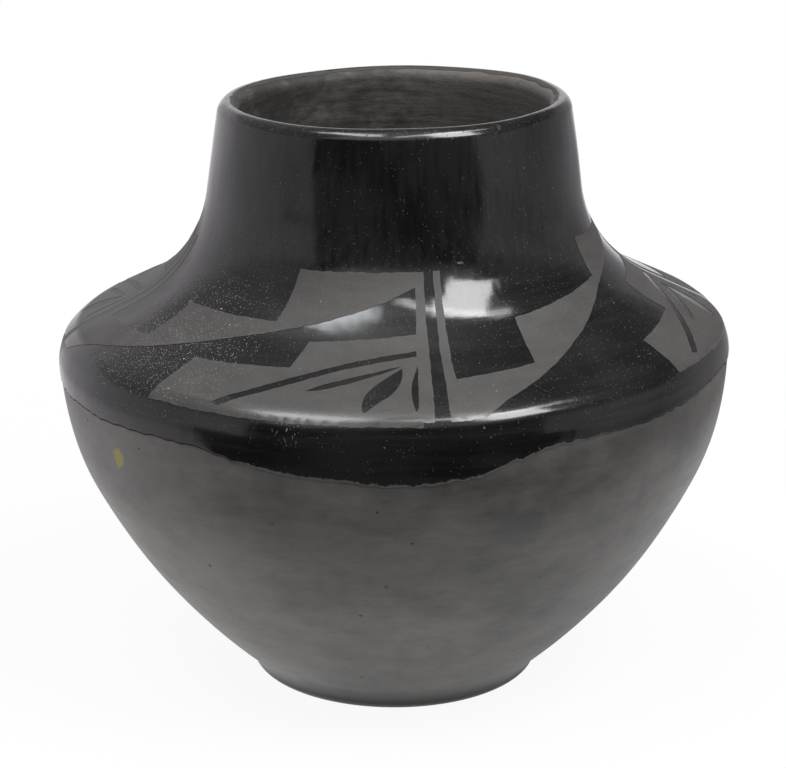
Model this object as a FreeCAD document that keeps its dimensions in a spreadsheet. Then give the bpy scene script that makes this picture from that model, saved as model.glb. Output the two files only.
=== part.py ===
import FreeCAD, Part
import Sketcher
import math
import os

# Pueblo jar, black on black, built up as its potter builds it. A pat of clay is pressed in a
# shallow form to make the base, rings of rolled clay are joined on it with lapped seams, and the
# wall is scraped to one thickness. A thin slip covers the neck and shoulder and is polished, and
# a second, matt coat is painted on the polished slip. Lengths are millimetres, angles degrees.
# The jar stands on Z = 0 with its axis on Z, and the middle of the view in front is -Y.

# Driving sizes of the fired clay, its slip and its paint
SIZES = [
    ("height", 179.6, "foot to the top of the clay lip"),
    ("belly_radius", 101.6, "widest radius of the clay"),
    ("belly_height", 102.3, "height of the widest radius"),
    ("edge_round", 12.5, "profile radius of the shoulder's edge"),
    ("mouth_radius", 52.2, "outer radius of the neck's line at the top"),
    ("foot_radius", 44.8, "radius of the foot"),
    ("foot_height", 4.6, "height of the foot's side"),
    ("foot_round", 4.0, "rounding of the foot's lower corner"),
    ("ring_width", 8.0, "flat ring that the jar stands on"),
    ("underside_depth", 1.2, "hollow of the underside within that ring"),
    ("underside_round", 27.0, "profile radius where the hollow meets the ring"),
    ("wall_thickness", 6.3, "wall from the base to the lip"),
    ("floor_thickness", 8.5, "base inside the foot"),
    ("floor_round", 24.0, "inside radius between floor and wall"),
    ("slip_thickness", 0.4, "polished slip"),
    ("slip_edge_drop", 5.4, "slip's lower edge, below the belly"),
    ("slip_inside", 2.0, "slip's reach down inside the mouth"),
    ("paint_thickness", 0.25, "matt paint on the slip"),
    ("pattern_repeats", 4, "repeats of the painted unit round the jar"),
    ("pattern_turn", 8.3, "angle from -Y to the first polished bar"),
]

# Shares that give the profile its form, whatever the driving sizes
PROFILE_SHARES = [
    ("belly_rise_share", 0.375, "height of the belly's arc, of the height from foot to belly"),
    ("belly_turn_share", 0.875, "turn of the belly's arc, of the lean from foot to belly"),
    ("shoulder_slope_share", 0.3131, "slope of the shoulder, of the slope from belly to mouth"),
    ("neck_taper_share", 0.2171, "taper of the neck, of the taper from belly to mouth"),
    ("hollow_share", 0.4866, "part of the neck's line that the hollow takes"),
]

# Points and angles of the profile that follow from the driving sizes and the shares
WORKED = [
    ("wall_rise", "Sizes.belly_height - Sizes.foot_height"),
    ("neck_rise", "Sizes.height - Sizes.belly_height"),
    ("neck_set_in", "Sizes.belly_radius - Sizes.mouth_radius"),
    ("belly_turn", "Shares.belly_turn_share"
                   " * atan((Sizes.belly_radius - Sizes.foot_radius) / wall_rise) / 1deg"),
    ("belly_round", "Shares.belly_rise_share * wall_rise / sin(belly_turn)"),
    ("shoulder_slope", "atan(Shares.shoulder_slope_share * neck_rise / neck_set_in) / 1deg"),
    ("neck_taper", "atan(Shares.neck_taper_share * neck_set_in / neck_rise) / 1deg"),
    ("belly_centre_r", "Sizes.belly_radius - belly_round"),
    ("edge_centre_r", "Sizes.belly_radius - Sizes.edge_round"),
    ("turn_r", "belly_centre_r + belly_round * cos(belly_turn)"),
    ("turn_z", "Sizes.belly_height - belly_round * sin(belly_turn)"),
    ("wall_run_r", "turn_r - Sizes.foot_radius"),
    ("wall_run_z", "turn_z - Sizes.foot_height"),
    ("wall_round", "(wall_run_r ^ 2 + wall_run_z ^ 2)"
                   " / (2 * (wall_run_r * cos(belly_turn) - wall_run_z * sin(belly_turn)))"),
    ("wall_centre_r", "turn_r - wall_round * cos(belly_turn)"),
    ("wall_centre_z", "turn_z + wall_round * sin(belly_turn)"),
    ("foot_turn", "asin((wall_centre_z - Sizes.foot_height) / wall_round) / 1deg"),
    ("shoulder_r", "edge_centre_r + Sizes.edge_round * sin(shoulder_slope)"),
    ("shoulder_z", "Sizes.belly_height + Sizes.edge_round * cos(shoulder_slope)"),
    ("corner_rise", "(shoulder_r - Sizes.mouth_radius - tan(neck_taper) * (Sizes.height - shoulder_z))"
                    " / (1 / tan(shoulder_slope) - tan(neck_taper))"),
    ("corner_r", "shoulder_r - corner_rise / tan(shoulder_slope)"),
    ("corner_z", "shoulder_z + corner_rise"),
    ("lip_round", "Sizes.wall_thickness / 2"),
    ("lip_centre_r", "Sizes.mouth_radius - lip_round * (1 - sin(neck_taper)) / cos(neck_taper)"),
    ("lip_centre_z", "Sizes.height - lip_round"),
    ("neck_line", "(lip_centre_z + lip_round * sin(neck_taper) - corner_z) / cos(neck_taper)"),
    ("hollow_run", "Shares.hollow_share * neck_line"),
    ("hollow_round", "hollow_run / tan((90 - shoulder_slope - neck_taper) / 2)"),
    ("hollow_centre_r", "corner_r + hollow_run * cos(shoulder_slope)"
                        " + hollow_round * sin(shoulder_slope)"),
    ("hollow_centre_z", "corner_z - hollow_run * sin(shoulder_slope)"
                        " + hollow_round * cos(shoulder_slope)"),
    ("floor_reach", "wall_round - Sizes.wall_thickness - Sizes.floor_round"),
    ("floor_centre_z", "Sizes.floor_thickness + Sizes.floor_round"),
    ("floor_centre_r", "wall_centre_r + sqrt(floor_reach ^ 2 - (wall_centre_z - floor_centre_z) ^ 2)"),
    ("floor_turn", "asin((wall_centre_z - floor_centre_z) / floor_reach) / 1deg"),
    ("ring_inner_r", "Sizes.foot_radius - Sizes.foot_round - Sizes.ring_width"),
    ("underside_turn", "acos(1 - Sizes.underside_depth / Sizes.underside_round) / 1deg"),
    ("underside_flat_r", "ring_inner_r - Sizes.underside_round * sin(underside_turn)"),
    ("slip_edge_share", "1 - asin(Sizes.slip_edge_drop / belly_round) / 1deg / belly_turn"),
    ("slip_inside_share", "1 - Sizes.slip_inside / (neck_line - hollow_run)"),
    ("unit_angle", "360 / Sizes.pattern_repeats"),
]

# Arcs of the outer profile from the foot up: centre, radius, how the radius changes as the
# outline moves into the wall, and the angles where the arc begins and ends
ARCS = {
    "wall": ("Worked.wall_centre_r", "Worked.wall_centre_z", "Worked.wall_round", "-",
             "-Worked.foot_turn", "-Worked.belly_turn"),
    "belly": ("Worked.belly_centre_r", "Sizes.belly_height", "Worked.belly_round", "-",
              "-Worked.belly_turn", "0"),
    "edge": ("Worked.edge_centre_r", "Sizes.belly_height", "Sizes.edge_round", "-",
             "0", "90 - Worked.shoulder_slope"),
    "hollow": ("Worked.hollow_centre_r", "Worked.hollow_centre_z", "Worked.hollow_round", "+",
               "270 - Worked.shoulder_slope", "180 + Worked.neck_taper"),
    "lip": ("Worked.lip_centre_r", "Worked.lip_centre_z", "Worked.lip_round", "-",
            "Worked.neck_taper", "180 + Worked.neck_taper"),
}

# Straight stretches, each between the arcs before and after it
LINES = {"shoulder": ("edge", "hollow"), "neck": ("hollow", "lip")}

STRETCHES = ["wall", "belly", "edge", "shoulder", "hollow", "neck", "lip"]

# Seams between the rings: the stretch, and the shares of it where the seam meets the outside
# and the inside. Each seam slants down towards the inside, where the clay of the upper ring is
# smeared over the lower one.
SEAM_SHARES = [
    ("wall", 0.19, 0.13),
    ("wall", 0.38, 0.32),
    ("wall", 0.57, 0.51),
    ("wall", 0.76, 0.70),
    ("wall", 0.95, 0.89),
    ("belly", 0.38, 0.26),
    ("belly", 0.78, 0.66),
    ("edge", 0.44, 0.30),
    ("shoulder", 0.50, 0.28),
    ("hollow", 0.24, 0.14),
    ("hollow", 0.60, 0.50),
    ("neck", 0.16, 0.04),
    ("neck", 0.62, 0.46),
]
RINGS = [
    "wall_coil_1", "wall_coil_2", "wall_coil_3", "wall_coil_4", "wall_coil_5", "belly_coil",
    "edge_coil_1", "edge_coil_2", "shoulder_coil", "neck_coil_1", "neck_coil_2", "neck_coil_3",
]

# Lowest and highest rows of the paint, as shares of the stretches of the profile that they lie
# on, and the rows between them as shares of the way down from the top row to the low row
LOW_ROW_SHARE = 0.64
TOP_ROW_SHARE = 0.70
MIDDLE_ROW_SHARE = 0.628
UPPER_ROW_SHARE = 0.278

# Places in the painted unit: a share of the unit's angle, counted from the middle of the
# polished bar, and a share of the way from the top row down to the low row
BAR_SHARE = 0.0142
BAR_PAINT_SHARE = 0.0375
WING_SHARES = {"start": 0.068, "middle": (0.50, 0.426), "end_down": 0.058}
STEP_SHARES = {"low": 0.23, "middle": (0.25, 0.59), "top": 0.605}
PANEL_SHARES = {"low": 0.455, "middle": (0.48, 0.70), "top": (0.715, 0.32)}
STRIPE_SHARES = [
    (0.563, 0.962), (0.769, 0.581), (0.955, 0.426),
    (0.955, 0.470), (0.769, 0.634), (0.578, 0.977),
]
LEAF_SHARES = [
    [(0.734, 0.802), (0.839, 0.641), (0.924, 0.555), (0.839, 0.692)],
    [(0.924, 0.600), (0.866, 0.756), (0.850, 0.947), (0.904, 0.805)],
    [(0.946, 0.566), (0.935, 0.723), (0.946, 0.865), (0.954, 0.723)],
]


def fill_sheet(doc, name, rows, lead):
    """A spreadsheet with one aliased value to a row."""
    sheet = doc.addObject("Spreadsheet::Sheet", name)
    for row, (alias, value, *note) in enumerate(rows, start=1):
        sheet.set(f"A{row}", alias)
        sheet.set(f"B{row}", f"{lead}{value}")
        sheet.setAlias(f"B{row}", alias)
        for text in note:
            sheet.set(f"C{row}", text)
    return sheet


def place(stretch, share, inset="0"):
    """A point of the profile, moved by inset from the clay's outer face into the wall."""
    if stretch in LINES:
        before, after = LINES[stretch]
        low = place(before, 1, inset)
        high = place(after, 0, inset)
        return tuple(f"({a} + ({share}) * ({b} - ({a})))" for a, b in zip(low, high))
    centre_r, centre_z, radius, side, first, last = ARCS[stretch]
    reach = f"({radius} {side} ({inset}))"
    angle = f"({first} + ({share}) * ({last} - ({first})))"
    return f"({centre_r} + {reach} * cos({angle}))", f"({centre_z} + {reach} * sin({angle}))"


def follow(start, end, inset="0"):
    """The profile from start to end: points, with a middle point or None between each two."""
    first = STRETCHES.index(start[0])
    last = STRETCHES.index(end[0])
    route = [place(*start, inset)]
    for index in range(first, last + 1):
        stretch = STRETCHES[index]
        low = start[1] if index == first else 0
        high = end[1] if index == last else 1
        middle = place(stretch, f"(({low}) + ({high})) / 2", inset)
        route += [None if stretch in LINES else middle, place(stretch, high, inset)]
    return route


def back(route):
    """The same route walked the other way."""
    return route[::-1]


def seam_places(index):
    """Where a seam meets the outside and the inside of the wall."""
    stretch, outer_share, inner_share = SEAM_SHARES[index]
    return (stretch, outer_share), (stretch, inner_share)


def number(document, expression):
    """The present value of an expression of the document's sheets."""
    return float(document.getObject("Worked").evalExpression(expression))


def pin(sketch, edge, end, point):
    """Hold a point of the sketch at the expressions of its two coordinates."""
    axes = (("DistanceX", -2), ("DistanceY", -1))
    for expression, (kind, axis) in zip(point, axes):
        if expression == "0":
            sketch.addConstraint(Sketcher.Constraint("PointOnObject", edge, end, axis))
            continue
        value = number(sketch.Document, expression)
        index = sketch.addConstraint(Sketcher.Constraint(kind, -1, 1, edge, end, value))
        sketch.setExpression(f"Constraints[{index}]", expression)


def arc_through(first, middle, last):
    """An arc through three points, and whether it runs counter-clockwise."""
    curve = Part.Arc(first, middle, last).toShape().Curve
    forward = (middle - first).cross(last - middle).z > 0
    begin, finish = (first, last) if forward else (last, first)
    spans = [end - curve.Center for end in (begin, finish)]
    angles = [math.atan2(span.y, span.x) for span in spans]
    if angles[1] < angles[0]:
        angles[1] += 2 * math.pi
    circle = Part.Circle(curve.Center, FreeCAD.Vector(0, 0, 1), curve.Radius)
    return Part.ArcOfCircle(circle, *angles), forward


def draw_loop(sketch, loop):
    """A closed outline of lines and arcs, with every corner and arc bound to the sheets."""
    corners = loop[0::2]
    bends = loop[1::2]
    spots = [FreeCAD.Vector(*(number(sketch.Document, e) for e in corner), 0) for corner in corners]
    ends = []
    for index, bend in enumerate(bends):
        first = spots[index]
        last = spots[(index + 1) % len(spots)]
        if bend is None:
            edge = sketch.addGeometry(Part.LineSegment(first, last), False)
            ends.append((edge, 1, 2))
        else:
            middle = FreeCAD.Vector(*(number(sketch.Document, e) for e in bend), 0)
            arc, forward = arc_through(first, middle, last)
            edge = sketch.addGeometry(arc, False)
            ends.append((edge, 1, 2) if forward else (edge, 2, 1))
            guide = sketch.addGeometry(Part.Point(middle), True)
            pin(sketch, guide, 1, bend)
            sketch.addConstraint(Sketcher.Constraint("PointOnObject", guide, 1, edge))
        pin(sketch, edge, ends[-1][1], corners[index])
    for (edge, _, finish), (following, begin, _) in zip(ends, ends[1:] + ends[:1]):
        sketch.addConstraint(Sketcher.Constraint("Coincident", edge, finish, following, begin))


def new_sketch(body, plane, loops):
    """A sketch on one of the body's own origin planes."""
    planes = {feature.Role: feature for feature in body.Origin.OriginFeatures}
    sketch = body.newObject("Sketcher::SketchObject", f"{body.Name}_outline")
    sketch.AttachmentSupport = [(planes[plane], "")]
    sketch.MapMode = "FlatFace"
    for loop in loops:
        draw_loop(sketch, loop)
    return sketch


def new_body(doc, label):
    """An empty body with its label and its place at the jar's origin."""
    body = doc.addObject("PartDesign::Body", label)
    body.Label = label
    body.Placement = FreeCAD.Placement()
    return body


def turned(doc, label, loop):
    """A body turned about the jar's axis from one closed outline."""
    body = new_body(doc, label)
    sketch = new_sketch(body, "XZ_Plane", [loop])
    turn = body.newObject("PartDesign::Revolution", f"{label}_turn")
    turn.Profile = sketch
    turn.ReferenceAxis = (sketch, ["V_Axis"])
    turn.Angle = 360
    body.Tip = turn
    return body


def stencil(doc, label, loops):
    """Upright prisms over a painted shape, repeated round the jar."""
    body = new_body(doc, label)
    sketch = new_sketch(body, "XY_Plane", loops)
    pad = body.newObject("PartDesign::Pad", f"{label}_pad")
    pad.Profile = sketch
    pad.setExpression("Length", "Sizes.height")
    doc.recompute()
    planes = {feature.Role: feature for feature in body.Origin.OriginFeatures}
    pattern = body.newObject("PartDesign::PolarPattern", f"{label}_repeats")
    pattern.Originals = [pad]
    pattern.Axis = (planes["Z_Axis"], [""])
    pattern.Angle = 360
    pattern.setExpression("Occurrences", "Sizes.pattern_repeats")
    body.Tip = pattern
    return body


def painted(doc, label, film, loops):
    """Paint inside a stencil: the part of the film that lies under it."""
    mask = stencil(doc, f"{label}_stencil", loops)
    paint = doc.addObject("Part::Common", label)
    paint.Label = label
    paint.Base = film
    paint.Tool = mask
    paint.Placement = FreeCAD.Placement()
    return paint


def make_base(doc):
    """The pressed base with its foot, flat standing ring and slightly hollow underside."""
    outer_seam, inner_seam = seam_places(0)
    wall = "Sizes.wall_thickness"
    inner_radius = f"(Worked.wall_round - {wall})"
    floor_edge = (f"Worked.wall_centre_r + {inner_radius} * cos(Worked.floor_turn)",
                  f"Worked.wall_centre_z - {inner_radius} * sin(Worked.floor_turn)")
    floor_bend_angle = "(90 + Worked.floor_turn) / 2"
    floor_bend = (f"Worked.floor_centre_r + Sizes.floor_round * cos({floor_bend_angle})",
                  f"Worked.floor_centre_z - Sizes.floor_round * sin({floor_bend_angle})")
    inner_sweep = "(Worked.belly_turn - Worked.foot_turn)"
    inner_bend_angle = f"((Worked.floor_turn + Worked.foot_turn + {inner_seam[1]} * {inner_sweep}) / 2)"
    inner_bend = (f"Worked.wall_centre_r + {inner_radius} * cos({inner_bend_angle})",
                  f"Worked.wall_centre_z - {inner_radius} * sin({inner_bend_angle})")
    underside_bend = ("Worked.underside_flat_r + Sizes.underside_round * sin(Worked.underside_turn / 2)",
                      "Sizes.underside_depth"
                      " - Sizes.underside_round * (1 - cos(Worked.underside_turn / 2))")
    corner_r = "Sizes.foot_radius - Sizes.foot_round"
    corner_bend = (f"{corner_r} + Sizes.foot_round * cos(45)", "Sizes.foot_round * (1 - sin(45))")
    outside = follow(("wall", 0), outer_seam)
    loop = [
        ("0", "Sizes.underside_depth"), None,
        ("Worked.underside_flat_r", "Sizes.underside_depth"), underside_bend,
        ("Worked.ring_inner_r", "0"), None,
        (corner_r, "0"), corner_bend,
        ("Sizes.foot_radius", "Sizes.foot_round"), None,
        *outside, None,
        place(*inner_seam, wall), inner_bend,
        floor_edge, floor_bend,
        ("Worked.floor_centre_r", "Sizes.floor_thickness"), None,
        ("0", "Sizes.floor_thickness"), None,
    ]
    return turned(doc, "base_pat", loop)


def make_ring(doc, label, index):
    """One ring of the wall, between its lower and upper lapped seams."""
    low_outer, low_inner = seam_places(index)
    high_outer, high_inner = seam_places(index + 1)
    outside = follow(low_outer, high_outer)
    inside = follow(low_inner, high_inner, "Sizes.wall_thickness")
    return turned(doc, label, [*outside, None, *back(inside), None])


def make_rim(doc):
    """The last ring, pinched up and rounded into the lip."""
    outer_seam, inner_seam = seam_places(len(SEAM_SHARES) - 1)
    outside = follow(outer_seam, ("lip", 1))
    inside = follow(inner_seam, ("neck", 1), "Sizes.wall_thickness")
    return turned(doc, "rim_coil", [*outside, *back(inside)[1:], None])


def make_slip(doc):
    """The polished slip, from under the belly up over the lip and just inside the mouth."""
    lowest = ("belly", "Worked.slip_edge_share")
    outer_face = "-Sizes.slip_thickness"
    inner_face = "Sizes.wall_thickness"
    inner_outer_face = f"{inner_face} + Sizes.slip_thickness"
    inner_end = ("neck", "Worked.slip_inside_share")
    outside = follow(lowest, ("lip", 1), outer_face)
    down_outer = place(*inner_end, inner_outer_face)
    down_inner = place(*inner_end, inner_face)
    clay_side = follow(lowest, ("lip", 1))
    return turned(doc, "polished_slip", [*outside, None, down_outer, None, down_inner, None,
                                         *back(clay_side), None])


def make_film(doc):
    """An unbroken coat of paint over the shoulder, from which the painted shapes are taken."""
    low = ("edge", 0)
    high = ("hollow", 1)
    under = follow(low, high, "-Sizes.slip_thickness")
    over = follow(low, high, "-Sizes.slip_thickness - Sizes.paint_thickness")
    return turned(doc, "paint_film", [*over, None, *back(under), None])


def plan(angle_share, radius):
    """A point in plan, by its share of the unit's angle and its radius."""
    angle = f"(Worked.unit_angle * ({angle_share}) + Sizes.pattern_turn)"
    return f"({radius}) * sin({angle})", f"-({radius}) * cos({angle})"


def row_radii():
    """The radius of each row of the paint."""
    between = "top_row + {} * (low_row - top_row)"
    return [
        ("low_row", place("edge", LOW_ROW_SHARE)[0]),
        ("top_row", place("hollow", TOP_ROW_SHARE)[0]),
        ("middle_row", between.format(MIDDLE_ROW_SHARE)),
        ("upper_row", between.format(UPPER_ROW_SHARE)),
    ]


def down(share):
    """The radius at a share of the way from the top row of the paint to its low row."""
    return f"Rows.top_row + {share} * (Rows.low_row - Rows.top_row)"


def along(first_share, last_share, radius):
    """An arc about the jar's axis, given as its two ends with the middle point between them."""
    middle_share = (first_share + last_share) / 2
    return [plan(first_share, radius), plan(middle_share, radius), plan(last_share, radius)]


def bar_loops():
    """The two matt bars beside each polished bar."""
    loops = []
    for first, last in ((-BAR_PAINT_SHARE, -BAR_SHARE), (BAR_SHARE, BAR_PAINT_SHARE)):
        top = along(first, last, "Rows.top_row")
        low = along(first, last, "Rows.low_row")
        loops.append([*top, None, *back(low), None])
    return loops


def step_loops():
    """The stepped shape, whose lower side is the long curve of the polished wing."""
    far = 1 - BAR_PAINT_SHARE
    near_step, far_step = STEP_SHARES["middle"]
    wing_angle, wing_down = WING_SHARES["middle"]
    return [[
        *along(BAR_PAINT_SHARE, WING_SHARES["start"], "Rows.low_row"),
        plan(wing_angle, down(wing_down)),
        plan(far, down(WING_SHARES["end_down"])), None,
        *along(far, STEP_SHARES["top"], "Rows.top_row"), None,
        *along(far_step, near_step, "Rows.upper_row"), None,
        *along(STEP_SHARES["low"], BAR_PAINT_SHARE, "Rows.middle_row"), None,
    ]]


def panel_loops():
    """The stepped panel under the wing, left open where the feather and its leaves show."""
    far = 1 - BAR_PAINT_SHARE
    near_step, far_step = PANEL_SHARES["middle"]
    top_angle, top_down = PANEL_SHARES["top"]
    panel = [
        *along(PANEL_SHARES["low"], far, "Rows.low_row"), None,
        *along(far, top_angle, down(top_down)), None,
        *along(far_step, near_step, "Rows.middle_row"), None,
    ]
    spots = [plan(angle, down(share)) for angle, share in STRIPE_SHARES]
    stripe = [*spots[:3], None, *spots[3:], None]
    leaves = [[plan(angle, down(share)) for angle, share in leaf] for leaf in LEAF_SHARES]
    return [panel, stripe, *leaves]


def check(doc, parts):
    """Stop unless every object of the document came out whole."""
    for item in doc.Objects:
        faults = [state for state in item.State if state in ("Invalid", "Error")]
        if faults:
            raise RuntimeError(f"{item.Name}: {faults}")
    for item in parts:
        shape = item.Shape
        if shape.isNull() or not shape.isValid() or not shape.Solids:
            raise RuntimeError(f"{item.Label}: no valid solid")


def main():
    doc = FreeCAD.newDocument("PuebloJar")
    fill_sheet(doc, "Sizes", SIZES, "")
    fill_sheet(doc, "Shares", PROFILE_SHARES, "")
    fill_sheet(doc, "Worked", WORKED, "=")
    fill_sheet(doc, "Rows", row_radii(), "=")
    doc.recompute()

    parts = [make_base(doc)]
    parts += [make_ring(doc, label, index) for index, label in enumerate(RINGS)]
    parts += [make_rim(doc), make_slip(doc)]
    film = make_film(doc)
    parts += [
        painted(doc, "bar_paint", film, bar_loops()),
        painted(doc, "stepped_paint", film, step_loops()),
        painted(doc, "feather_panel_paint", film, panel_loops()),
    ]
    doc.recompute()
    check(doc, parts)

    os.makedirs("parts", exist_ok=True)
    for part in parts:
        part.Shape.exportStep(f"parts/{part.Label}.step")
        print(f"{part.Label}: {len(part.Shape.Solids)} solids, {part.Shape.Volume / 1000:.2f} cm3")


main()
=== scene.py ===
import math

import bpy
import numpy as np
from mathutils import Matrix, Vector
from mathutils.geometry import delaunay_2d_cdt


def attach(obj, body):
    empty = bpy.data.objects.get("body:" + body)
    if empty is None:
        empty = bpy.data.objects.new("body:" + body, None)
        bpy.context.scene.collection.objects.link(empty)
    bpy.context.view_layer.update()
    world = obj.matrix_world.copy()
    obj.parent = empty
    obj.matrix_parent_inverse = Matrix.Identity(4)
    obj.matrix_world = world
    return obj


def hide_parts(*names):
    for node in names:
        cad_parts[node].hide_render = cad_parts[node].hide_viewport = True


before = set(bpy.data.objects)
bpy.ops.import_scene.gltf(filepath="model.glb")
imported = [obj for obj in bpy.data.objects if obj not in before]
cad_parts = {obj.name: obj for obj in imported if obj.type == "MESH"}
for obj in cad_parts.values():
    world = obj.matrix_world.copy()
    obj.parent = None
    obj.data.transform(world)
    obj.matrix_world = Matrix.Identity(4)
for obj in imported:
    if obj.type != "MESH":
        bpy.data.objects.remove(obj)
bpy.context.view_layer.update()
scene = bpy.context.scene

# A black-on-black pueblo jar. The clay, its polished slip and its matt paint are closed meshes
# that follow one profile and share the small unevenness of a jar built by hand. Lengths are
# metres, angles are degrees from -Y towards +X, and the photograph looks along +Y.

MM = 0.001

# Sizes of the fired clay, as in the solids
HEIGHT = 179.6 * MM
BELLY_RADIUS = 101.6 * MM
BELLY_HEIGHT = 102.3 * MM
EDGE_ROUND = 12.5 * MM
MOUTH_RADIUS = 52.2 * MM
FOOT_RADIUS = 44.8 * MM
FOOT_HEIGHT = 4.6 * MM
FOOT_ROUND = 4.0 * MM
RING_WIDTH = 8.0 * MM
UNDERSIDE_DEPTH = 1.2 * MM
UNDERSIDE_ROUND = 27.0 * MM
WALL = 6.3 * MM
FLOOR = 8.5 * MM
FLOOR_ROUND = 24.0 * MM
SLIP = 0.4 * MM
SLIP_EDGE_DROP = 5.4 * MM
PATTERN_REPEATS = 4
PATTERN_TURN = 8.3

# Shares that give the profile its form, as in the solids
BELLY_RISE_SHARE = 0.375
BELLY_TURN_SHARE = 0.875
SHOULDER_SLOPE_SHARE = 0.3131
NECK_TAPER_SHARE = 0.2171
HOLLOW_SHARE = 0.4866

# Sizes of what only the looks have. The coats of paint and slip stand proud and have a root in
# what is under them, the clay under the slip lies a little deeper, and the paint's edges wander.
PAINT_PROUD = 0.10 * MM
BAR_PROUD = 0.07 * MM
PAINT_ROOT = 0.12 * MM
SLIP_ROOT = 0.15 * MM
UNDER_SLIP = 0.05 * MM
WANDER = 0.08 * MM
LEAF_WANDER = 0.06 * MM
BAR_WANDER = 0.10 * MM
WANDER_LENGTHS = (3.2 * MM, 5.0 * MM, 9.0 * MM, 16.0 * MM)

# The slip's thin and ragged lower edge, and how it ends over the lip
SLIP_TAPER = 0.9 * MM
SLIP_THIN = 4.0 * MM
SLIP_RAG = 1.0 * MM
SLIP_RAG_FADE = 14.0 * MM
RAG_SHARE = 0.2
FINE_RAG_SHARE = 0.16
SLIP_LIP_SHARE = 0.62
SLIP_LIP_TAPER = 1.6 * MM

# The ridge along the shoulder's edge, the lip's flat and the soft turn of the foot
EDGE_RIDGE = 0.30 * MM
EDGE_RIDGE_AT = math.radians(34)
EDGE_RIDGE_REACH = 2.65 * MM
LIP_FLAT = 0.13 * MM
LIP_FLAT_AT = math.radians(37)
LIP_FLAT_REACH = 0.6
FOOT_BLEND_BELOW = 2.5 * MM
FOOT_BLEND_ABOVE = 8.0 * MM
FOOT_BLEND_POINTS = 12

# The whole jar's lean in degrees, its unevenness, and the heights between which that comes in
LEAN = 0.9
LEAN_START = 20.0 * MM
LEAN_RISE = 80.0 * MM
BODY_UNEVEN = 0.15 * MM
RIM_UNEVEN = 0.09 * MM
UNEVEN_HEIGHTS = (2 * MM, 40 * MM)

# Where the outer and the inner mesh of the clay part inside the wall, out of sight
OUTER_TOP = 0.30 * EDGE_ROUND
INNER_LOW = 0.35 * EDGE_ROUND
OUTER_DEPTH = 0.50 * WALL
INNER_DEPTH = 0.52 * WALL
OUTER_FLOOR = (0.90 * FOOT_RADIUS, 0.60 * FLOOR)
INNER_FLOOR = (0.85 * FOOT_RADIUS, 0.65 * FLOOR)

# How fine the meshes are, and the angle in degrees from which an edge is shaded sharp
COLUMNS = 480
INSIDE_COLUMNS = 320
OUTLINE_STEP = 0.25 * MM
CORNER_STEP = 0.6 * MM
FINE_STEP = 1.3 * MM
RIDGE_STEP = 0.5 * MM
SLIP_EDGE_STEP = 0.25 * MM
LIP_STEP = 0.2 * MM
INSIDE_STEP = 2.0 * MM
HIDDEN_STEP = 8.0 * MM
SLIP_BACK_STEP = 4.0 * MM
UNDER_SLIP_STEP = 2.0 * MM
PAINT_STEP = 1.0 * MM
PAINT_ROW_SHARE = 0.87
SHARP = 35
PAINT_SHARP = 50


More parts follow.
